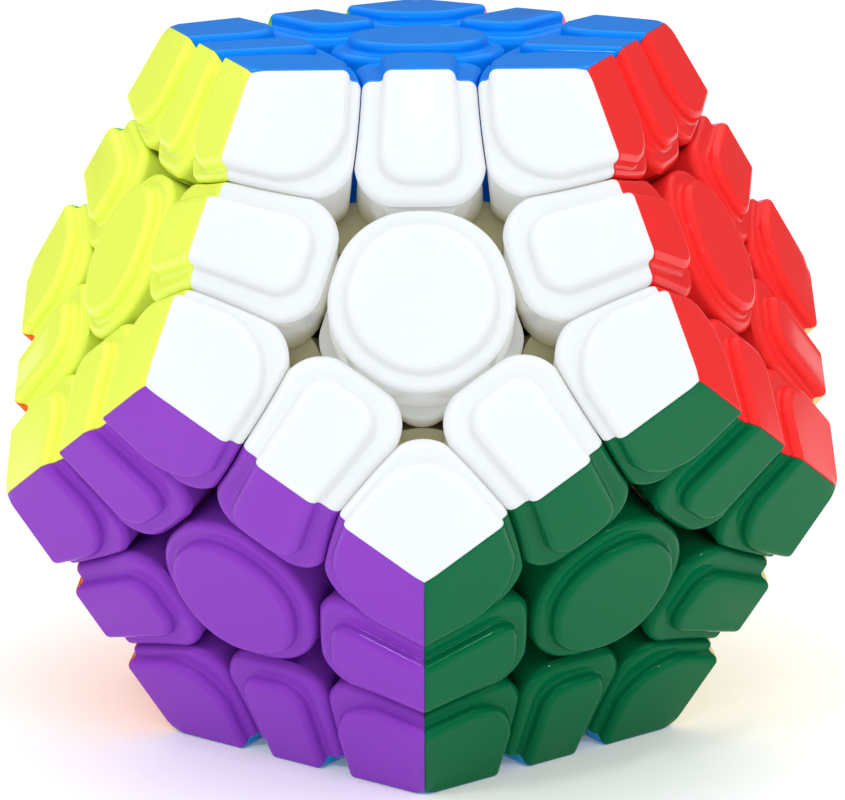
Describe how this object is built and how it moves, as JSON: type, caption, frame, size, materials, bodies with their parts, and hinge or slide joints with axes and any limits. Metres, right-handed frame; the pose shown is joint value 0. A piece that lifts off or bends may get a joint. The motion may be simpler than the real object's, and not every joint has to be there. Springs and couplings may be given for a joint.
{
  "type": "dodecahedron twisty puzzle",
  "caption": "Dodecahedron twisty puzzle with coloured raised tiles; each face turns with its five edges and five corners.",
  "frame": {"origin": "centre of the core, where the twelve face axes meet", "axes": "+Z leaves the blue face, -Z the light blue face it rests on, and the white face looks towards -Y and up"},
  "size_m": [0.0882, 0.0928, 0.075],
  "materials": {
    "blue_plastic": "glossy",
    "white_plastic": "glossy",
    "red_plastic": "glossy",
    "pink_plastic": "glossy",
    "light_green_plastic": "glossy",
    "yellow_plastic": "glossy",
    "purple_plastic": "glossy",
    "green_plastic": "glossy",
    "cream_plastic": "glossy",
    "grey_plastic": "glossy",
    "orange_plastic": "glossy",
    "light_blue_plastic": "glossy",
    "core_plastic": "satin",
    "screw_steel": "plated",
    "spring_steel": "bright wire"
  },
  "bodies": {
    "core_and_light_blue_centre": {"core": "core_plastic", "screws_and_washers": "screw_steel", "tension_springs": "spring_steel", "light_blue_centre": "light_blue_plastic"},
    "blue_centre": {"blue_centre": "blue_plastic"},
    "white_centre": {"white_centre": "white_plastic"},
    "red_centre": {"red_centre": "red_plastic"},
    "pink_centre": {"pink_centre": "pink_plastic"},
    "light_green_centre": {"light_green_centre": "light_green_plastic"},
    "yellow_centre": {"yellow_centre": "yellow_plastic"},
    "purple_centre": {"purple_centre": "purple_plastic", "purple_light_blue_edge": "purple_plastic"},
    "green_centre": {"green_centre": "green_plastic", "green_light_blue_edge": "green_plastic"},
    "cream_centre": {"cream_centre": "cream_plastic", "cream_light_blue_edge": "cream_plastic"},
    "grey_centre": {"grey_centre": "grey_plastic", "grey_light_blue_edge": "grey_plastic"},
    "orange_centre": {"orange_centre": "orange_plastic", "orange_light_blue_edge": "orange_plastic"},
    "blue_white_edge": {"blue_white_edge": "blue_plastic"},
    "blue_red_edge": {"blue_red_edge": "blue_plastic"},
    "blue_pink_edge": {"blue_pink_edge": "blue_plastic"},
    "blue_light_green_edge": {"blue_light_green_edge": "blue_plastic"},
    "blue_yellow_edge": {"blue_yellow_edge": "blue_plastic"},
    "white_yellow_edge": {"white_yellow_edge": "white_plastic"},
    "white_purple_edge": {"white_purple_edge": "white_plastic"},
    "white_green_edge": {"white_green_edge": "white_plastic"},
    "white_red_edge": {"white_red_edge": "white_plastic"},
    "red_green_edge": {"red_green_edge": "red_plastic"},
    "red_cream_edge": {"red_cream_edge": "red_plastic"},
    "red_pink_edge": {"red_pink_edge": "red_plastic"},
    "pink_cream_edge": {"pink_cream_edge": "pink_plastic"},
    "pink_grey_edge": {"pink_grey_edge": "pink_plastic"},
    "pink_light_green_edge": {"pink_light_green_edge": "pink_plastic"},
    "light_green_grey_edge": {"light_green_grey_edge": "light_green_plastic"},
    "light_green_orange_edge": {"light_green_orange_edge": "light_green_plastic"},
    "light_green_yellow_edge": {"light_green_yellow_edge": "light_green_plastic"},
    "yellow_orange_edge": {"yellow_orange_edge": "yellow_plastic"},
    "yellow_purple_edge": {"yellow_purple_edge": "yellow_plastic"},
    "purple_green_edge": {"purple_green_edge_and_base_corner": "purple_plastic"},
    "purple_orange_edge": {"purple_orange_edge_and_base_corner": "purple_plastic"},
    "green_cream_edge": {"green_cream_edge_and_base_corner": "green_plastic"},
    "cream_grey_edge": {"cream_grey_edge_and_base_corner": "cream_plastic"},
    "grey_orange_edge": {"grey_orange_edge_and_base_corner": "grey_plastic"},
    "blue_white_red_corner": {"blue_white_red_corner": "blue_plastic"},
    "blue_red_pink_corner": {"blue_red_pink_corner": "blue_plastic"},
    "blue_pink_light_green_corner": {"blue_pink_light_green_corner": "blue_plastic"},
    "blue_light_green_yellow_corner": {"blue_light_green_yellow_corner": "blue_plastic"},
    "blue_yellow_white_corner": {"blue_yellow_white_corner": "blue_plastic"},
    "white_yellow_purple_corner": {"white_yellow_purple_corner": "white_plastic"},
    "white_purple_green_corner": {"white_purple_green_corner": "white_plastic"},
    "white_green_red_corner": {"white_green_red_corner": "white_plastic"},
    "red_green_cream_corner": {"red_green_cream_corner": "red_plastic"},
    "red_cream_pink_corner": {"red_cream_pink_corner": "red_plastic"},
    "pink_cream_grey_corner": {"pink_cream_grey_corner": "pink_plastic"},
    "pink_grey_light_green_corner": {"pink_grey_light_green_corner": "pink_plastic"},
    "light_green_grey_orange_corner": {"light_green_grey_orange_corner": "light_green_plastic"},
    "light_green_orange_yellow_corner": {"light_green_orange_yellow_corner": "light_green_plastic"},
    "yellow_orange_purple_corner": {"yellow_orange_purple_corner": "yellow_plastic"}
  },
  "joints": [
    {"name": "blue_face_turn", "type": "hinge", "parent": "core_and_light_blue_centre", "child": "blue_centre", "pos_m": [0, 0, 0], "axis": [0, 0, 1], "continuous": true},
    {"name": "white_face_turn", "type": "hinge", "parent": "core_and_light_blue_centre", "child": "white_centre", "pos_m": [0, 0, 0], "axis": [0, -0.8944, 0.4472], "range_deg": [-360, 360]},
    {"name": "red_face_turn", "type": "hinge", "parent": "core_and_light_blue_centre", "child": "red_centre", "pos_m": [0, 0, 0], "axis": [0.8507, -0.2764, 0.4472], "range_deg": [-360, 360]},
    {"name": "pink_face_turn", "type": "hinge", "parent": "core_and_light_blue_centre", "child": "pink_centre", "pos_m": [0, 0, 0], "axis": [0.5257, 0.7236, 0.4472], "range_deg": [-360, 360]},
    {"name": "light_green_face_turn", "type": "hinge", "parent": "core_and_light_blue_centre", "child": "light_green_centre", "pos_m": [0, 0, 0], "axis": [-0.5257, 0.7236, 0.4472], "range_deg": [-360, 360]},
    {"name": "yellow_face_turn", "type": "hinge", "parent": "core_and_light_blue_centre", "child": "yellow_centre", "pos_m": [0, 0, 0], "axis": [-0.8507, -0.2764, 0.4472], "range_deg": [-360, 360]},
    {"name": "purple_face_turn", "type": "hinge", "parent": "core_and_light_blue_centre", "child": "purple_centre", "pos_m": [0, 0, 0], "axis": [-0.5257, -0.7236, -0.4472], "continuous": true},
    {"name": "green_face_turn", "type": "hinge", "parent": "core_and_light_blue_centre", "child": "green_centre", "pos_m": [0, 0, 0], "axis": [0.5257, -0.7236, -0.4472], "range_deg": [-360, 360]},
    {"name": "cream_face_turn", "type": "hinge", "parent": "core_and_light_blue_centre", "child": "cream_centre", "pos_m": [0, 0, 0], "axis": [0.8507, 0.2764, -0.4472], "continuous": true},
    {"name": "grey_face_turn", "type": "hinge", "parent": "core_and_light_blue_centre", "child": "grey_centre", "pos_m": [0, 0, 0], "axis": [0, 0.8944, -0.4472], "range_deg": [-360, 360]},
    {"name": "orange_face_turn", "type": "hinge", "parent": "core_and_light_blue_centre", "child": "orange_centre", "pos_m": [0, 0, 0], "axis": [-0.8507, 0.2764, -0.4472], "range_deg": [-360, 360]},
    {"name": "blue_white_edge_turn_with_white", "type": "hinge", "parent": "blue_centre", "child": "blue_white_edge", "pos_m": [0, 0, 0], "axis": [0, -0.8944, 0.4472], "range_deg": [-360, 360]},
    {"name": "blue_red_edge_turn_with_red", "type": "hinge", "parent": "blue_centre", "child": "blue_red_edge", "pos_m": [0, 0, 0], "axis": [0.8507, -0.2764, 0.4472], "range_deg": [-360, 360]},
    {"name": "blue_pink_edge_turn_with_pink", "type": "hinge", "parent": "blue_centre", "child": "blue_pink_edge", "pos_m": [0, 0, 0], "axis": [0.5257, 0.7236, 0.4472], "range_deg": [-360, 360]},
    {"name": "blue_light_green_edge_turn_with_light_green", "type": "hinge", "parent": "blue_centre", "child": "blue_light_green_edge", "pos_m": [0, 0, 0], "axis": [-0.5257, 0.7236, 0.4472], "range_deg": [-360, 360]},
    {"name": "blue_yellow_edge_turn_with_yellow", "type": "hinge", "parent": "blue_centre", "child": "blue_yellow_edge", "pos_m": [0, 0, 0], "axis": [-0.8507, -0.2764, 0.4472], "range_deg": [-360, 360]},
    {"name": "white_yellow_edge_turn_with_yellow", "type": "hinge", "parent": "white_centre", "child": "white_yellow_edge", "pos_m": [0, 0, 0], "axis": [-0.8507, -0.2764, 0.4472], "range_deg": [-360, 360]},
    {"name": "white_purple_edge_turn_with_purple", "type": "hinge", "parent": "white_centre", "child": "white_purple_edge", "pos_m": [0, 0, 0], "axis": [-0.5257, -0.7236, -0.4472], "continuous": true},
    {"name": "white_green_edge_turn_with_green", "type": "hinge", "parent": "white_centre", "child": "white_green_edge", "pos_m": [0, 0, 0], "axis": [0.5257, -0.7236, -0.4472], "range_deg": [-360, 360]},
    {"name": "white_red_edge_turn_with_red", "type": "hinge", "parent": "white_centre", "child": "white_red_edge", "pos_m": [0, 0, 0], "axis": [0.8507, -0.2764, 0.4472], "range_deg": [-360, 360]},
    {"name": "red_green_edge_turn_with_green", "type": "hinge", "parent": "red_centre", "child": "red_green_edge", "pos_m": [0, 0, 0], "axis": [0.5257, -0.7236, -0.4472], "range_deg": [-360, 360]},
    {"name": "red_cream_edge_turn_with_cream", "type": "hinge", "parent": "red_centre", "child": "red_cream_edge", "pos_m": [0, 0, 0], "axis": [0.8507, 0.2764, -0.4472], "continuous": true},
    {"name": "red_pink_edge_turn_with_pink", "type": "hinge", "parent": "red_centre", "child": "red_pink_edge", "pos_m": [0, 0, 0], "axis": [0.5257, 0.7236, 0.4472], "range_deg": [-360, 360]},
    {"name": "pink_cream_edge_turn_with_cream", "type": "hinge", "parent": "pink_centre", "child": "pink_cream_edge", "pos_m": [0, 0, 0], "axis": [0.8507, 0.2764, -0.4472], "continuous": true},
    {"name": "pink_grey_edge_turn_with_grey", "type": "hinge", "parent": "pink_centre", "child": "pink_grey_edge", "pos_m": [0, 0, 0], "axis": [0, 0.8944, -0.4472], "range_deg": [-360, 360]},
    {"name": "pink_light_green_edge_turn_with_light_green", "type": "hinge", "parent": "pink_centre", "child": "pink_light_green_edge", "pos_m": [0, 0, 0], "axis": [-0.5257, 0.7236, 0.4472], "range_deg": [-360, 360]},
    {"name": "light_green_grey_edge_turn_with_grey", "type": "hinge", "parent": "light_green_centre", "child": "light_green_grey_edge", "pos_m": [0, 0, 0], "axis": [0, 0.8944, -0.4472], "range_deg": [-360, 360]},
    {"name": "light_green_orange_edge_turn_with_orange", "type": "hinge", "parent": "light_green_centre", "child": "light_green_orange_edge", "pos_m": [0, 0, 0], "axis": [-0.8507, 0.2764, -0.4472], "range_deg": [-360, 360]},
    {"name": "light_green_yellow_edge_turn_with_yellow", "type": "hinge", "parent": "light_green_centre", "child": "light_green_yellow_edge", "pos_m": [0, 0, 0], "axis": [-0.8507, -0.2764, 0.4472], "range_deg": [-360, 360]},
    {"name": "yellow_orange_edge_turn_with_orange", "type": "hinge", "parent": "yellow_centre", "child": "yellow_orange_edge", "pos_m": [0, 0, 0], "axis": [-0.8507, 0.2764, -0.4472], "range_deg": [-360, 360]},
    {"name": "yellow_purple_edge_turn_with_purple", "type": "hinge", "parent": "yellow_centre", "child": "yellow_purple_edge", "pos_m": [0, 0, 0], "axis": [-0.5257, -0.7236, -0.4472], "continuous": true},
    {"name": "purple_green_edge_turn_with_green", "type": "hinge", "parent": "purple_centre", "child": "purple_green_edge", "pos_m": [0, 0, 0], "axis": [0.5257, -0.7236, -0.4472], "range_deg": [-360, 360]},
    {"name": "purple_orange_edge_turn_with_orange", "type": "hinge", "parent": "purple_centre", "child": "purple_orange_edge", "pos_m": [0, 0, 0], "axis": [-0.8507, 0.2764, -0.4472], "range_deg": [-360, 360]},
    {"name": "green_cream_edge_turn_with_cream", "type": "hinge", "parent": "green_centre", "child": "green_cream_edge", "pos_m": [0, 0, 0], "axis": [0.8507, 0.2764, -0.4472], "continuous": true},
    {"name": "cream_grey_edge_turn_with_grey", "type": "hinge", "parent": "cream_centre", "child": "cream_grey_edge", "pos_m": [0, 0, 0], "axis": [0, 0.8944, -0.4472], "range_deg": [-360, 360]},
    {"name": "grey_orange_edge_turn_with_orange", "type": "hinge", "parent": "grey_centre", "child": "grey_orange_edge", "pos_m": [0, 0, 0], "axis": [-0.8507, 0.2764, -0.4472], "range_deg": [-360, 360]},
    {"name": "blue_white_red_corner_turn_with_red", "type": "hinge", "parent": "blue_white_edge", "child": "blue_white_red_corner", "pos_m": [0, 0, 0], "axis": [0.8507, -0.2764, 0.4472], "range_deg": [-360, 360]},
    {"name": "blue_red_pink_corner_turn_with_pink", "type": "hinge", "parent": "blue_red_edge", "child": "blue_red_pink_corner", "pos_m": [0, 0, 0], "axis": [0.5257, 0.7236, 0.4472], "range_deg": [-360, 360]},
    {"name": "blue_pink_light_green_corner_turn_with_light_green", "type": "hinge", "parent": "blue_pink_edge", "child": "blue_pink_light_green_corner", "pos_m": [0, 0, 0], "axis": [-0.5257, 0.7236, 0.4472], "range_deg": [-360, 360]},
    {"name": "blue_light_green_yellow_corner_turn_with_yellow", "type": "hinge", "parent": "blue_light_green_edge", "child": "blue_light_green_yellow_corner", "pos_m": [0, 0, 0], "axis": [-0.8507, -0.2764, 0.4472], "range_deg": [-360, 360]},
    {"name": "blue_yellow_white_corner_turn_with_white", "type": "hinge", "parent": "blue_yellow_edge", "child": "blue_yellow_white_corner", "pos_m": [0, 0, 0], "axis": [0, -0.8944, 0.4472], "range_deg": [-360, 360]},
    {"name": "white_yellow_purple_corner_turn_with_purple", "type": "hinge", "parent": "white_yellow_edge", "child": "white_yellow_purple_corner", "pos_m": [0, 0, 0], "axis": [-0.5257, -0.7236, -0.4472], "continuous": true},
    {"name": "white_purple_green_corner_turn_with_green", "type": "hinge", "parent": "white_purple_edge", "child": "white_purple_green_corner", "pos_m": [0, 0, 0], "axis": [0.5257, -0.7236, -0.4472], "range_deg": [-360, 360]},
    {"name": "white_green_red_corner_turn_with_red", "type": "hinge", "parent": "white_green_edge", "child": "white_green_red_corner", "pos_m": [0, 0, 0], "axis": [0.8507, -0.2764, 0.4472], "range_deg": [-360, 360]},
    {"name": "red_green_cream_corner_turn_with_cream", "type": "hinge", "parent": "red_green_edge", "child": "red_green_cream_corner", "pos_m": [0, 0, 0], "axis": [0.8507, 0.2764, -0.4472], "continuous": true},
    {"name": "red_cream_pink_corner_turn_with_pink", "type": "hinge", "parent": "red_cream_edge", "child": "red_cream_pink_corner", "pos_m": [0, 0, 0], "axis": [0.5257, 0.7236, 0.4472], "range_deg": [-360, 360]},
    {"name": "pink_cream_grey_corner_turn_with_grey", "type": "hinge", "parent": "pink_cream_edge", "child": "pink_cream_grey_corner", "pos_m": [0, 0, 0], "axis": [0, 0.8944, -0.4472], "range_deg": [-360, 360]},
    {"name": "pink_grey_light_green_corner_turn_with_light_green", "type": "hinge", "parent": "pink_grey_edge", "child": "pink_grey_light_green_corner", "pos_m": [0, 0, 0], "axis": [-0.5257, 0.7236, 0.4472], "range_deg": [-360, 360]},
    {"name": "light_green_grey_orange_corner_turn_with_orange", "type": "hinge", "parent": "light_green_grey_edge", "child": "light_green_grey_orange_corner", "pos_m": [0, 0, 0], "axis": [-0.8507, 0.2764, -0.4472], "range_deg": [-360, 360]},
    {"name": "light_green_orange_yellow_corner_turn_with_yellow", "type": "hinge", "parent": "light_green_orange_edge", "child": "light_green_orange_yellow_corner", "pos_m": [0, 0, 0], "axis": [-0.8507, -0.2764, 0.4472], "range_deg": [-360, 360]},
    {"name": "yellow_orange_purple_corner_turn_with_purple", "type": "hinge", "parent": "yellow_orange_edge", "child": "yellow_orange_purple_corner", "pos_m": [0, 0, 0], "axis": [-0.5257, -0.7236, -0.4472], "continuous": true}
  ],
  "couplings": [
    {"joint": "blue_white_edge_turn_with_white", "follows": "white_face_turn", "ratio": 1},
    {"joint": "blue_red_edge_turn_with_red", "follows": "red_face_turn", "ratio": 1},
    {"joint": "blue_pink_edge_turn_with_pink", "follows": "pink_face_turn", "ratio": 1},
    {"joint": "blue_light_green_edge_turn_with_light_green", "follows": "light_green_face_turn", "ratio": 1},
    {"joint": "blue_yellow_edge_turn_with_yellow", "follows": "yellow_face_turn", "ratio": 1},
    {"joint": "white_yellow_edge_turn_with_yellow", "follows": "yellow_face_turn", "ratio": 1},
    {"joint": "white_purple_edge_turn_with_purple", "follows": "purple_face_turn", "ratio": 1},
    {"joint": "white_green_edge_turn_with_green", "follows": "green_face_turn", "ratio": 1},
    {"joint": "white_red_edge_turn_with_red", "follows": "red_face_turn", "ratio": 1},
    {"joint": "red_green_edge_turn_with_green", "follows": "green_face_turn", "ratio": 1},
    {"joint": "red_cream_edge_turn_with_cream", "follows": "cream_face_turn", "ratio": 1},
    {"joint": "red_pink_edge_turn_with_pink", "follows": "pink_face_turn", "ratio": 1},
    {"joint": "pink_cream_edge_turn_with_cream", "follows": "cream_face_turn", "ratio": 1},
    {"joint": "pink_grey_edge_turn_with_grey", "follows": "grey_face_turn", "ratio": 1},
    {"joint": "pink_light_green_edge_turn_with_light_green", "follows": "light_green_face_turn", "ratio": 1},
    {"joint": "light_green_grey_edge_turn_with_grey", "follows": "grey_face_turn", "ratio": 1},
    {"joint": "light_green_orange_edge_turn_with_orange", "follows": "orange_face_turn", "ratio": 1},
    {"joint": "light_green_yellow_edge_turn_with_yellow", "follows": "yellow_face_turn", "ratio": 1},
    {"joint": "yellow_orange_edge_turn_with_orange", "follows": "orange_face_turn", "ratio": 1},
    {"joint": "yellow_purple_edge_turn_with_purple", "follows": "purple_face_turn", "ratio": 1},
    {"joint": "purple_green_edge_turn_with_green", "follows": "green_face_turn", "ratio": 1},
    {"joint": "purple_orange_edge_turn_with_orange", "follows": "orange_face_turn", "ratio": 1},
    {"joint": "green_cream_edge_turn_with_cream", "follows": "cream_face_turn", "ratio": 1},
    {"joint": "cream_grey_edge_turn_with_grey", "follows": "grey_face_turn", "ratio": 1},
    {"joint": "grey_orange_edge_turn_with_orange", "follows": "orange_face_turn", "ratio": 1},
    {"joint": "blue_white_red_corner_turn_with_red", "follows": "red_face_turn", "ratio": 1},
    {"joint": "blue_red_pink_corner_turn_with_pink", "follows": "pink_face_turn", "ratio": 1},
    {"joint": "blue_pink_light_green_corner_turn_with_light_green", "follows": "light_green_face_turn", "ratio": 1},
    {"joint": "blue_light_green_yellow_corner_turn_with_yellow", "follows": "yellow_face_turn", "ratio": 1},
    {"joint": "blue_yellow_white_corner_turn_with_white", "follows": "white_face_turn", "ratio": 1},
    {"joint": "white_yellow_purple_corner_turn_with_purple", "follows": "purple_face_turn", "ratio": 1},
    {"joint": "white_purple_green_corner_turn_with_green", "follows": "green_face_turn", "ratio": 1},
    {"joint": "white_green_red_corner_turn_with_red", "follows": "red_face_turn", "ratio": 1},
    {"joint": "red_green_cream_corner_turn_with_cream", "follows": "cream_face_turn", "ratio": 1},
    {"joint": "red_cream_pink_corner_turn_with_pink", "follows": "pink_face_turn", "ratio": 1},
    {"joint": "pink_cream_grey_corner_turn_with_grey", "follows": "grey_face_turn", "ratio": 1},
    {"joint": "pink_grey_light_green_corner_turn_with_light_green", "follows": "light_green_face_turn", "ratio": 1},
    {"joint": "light_green_grey_orange_corner_turn_with_orange", "follows": "orange_face_turn", "ratio": 1},
    {"joint": "light_green_orange_yellow_corner_turn_with_yellow", "follows": "yellow_face_turn", "ratio": 1},
    {"joint": "yellow_orange_purple_corner_turn_with_purple", "follows": "purple_face_turn", "ratio": 1}
  ]
}
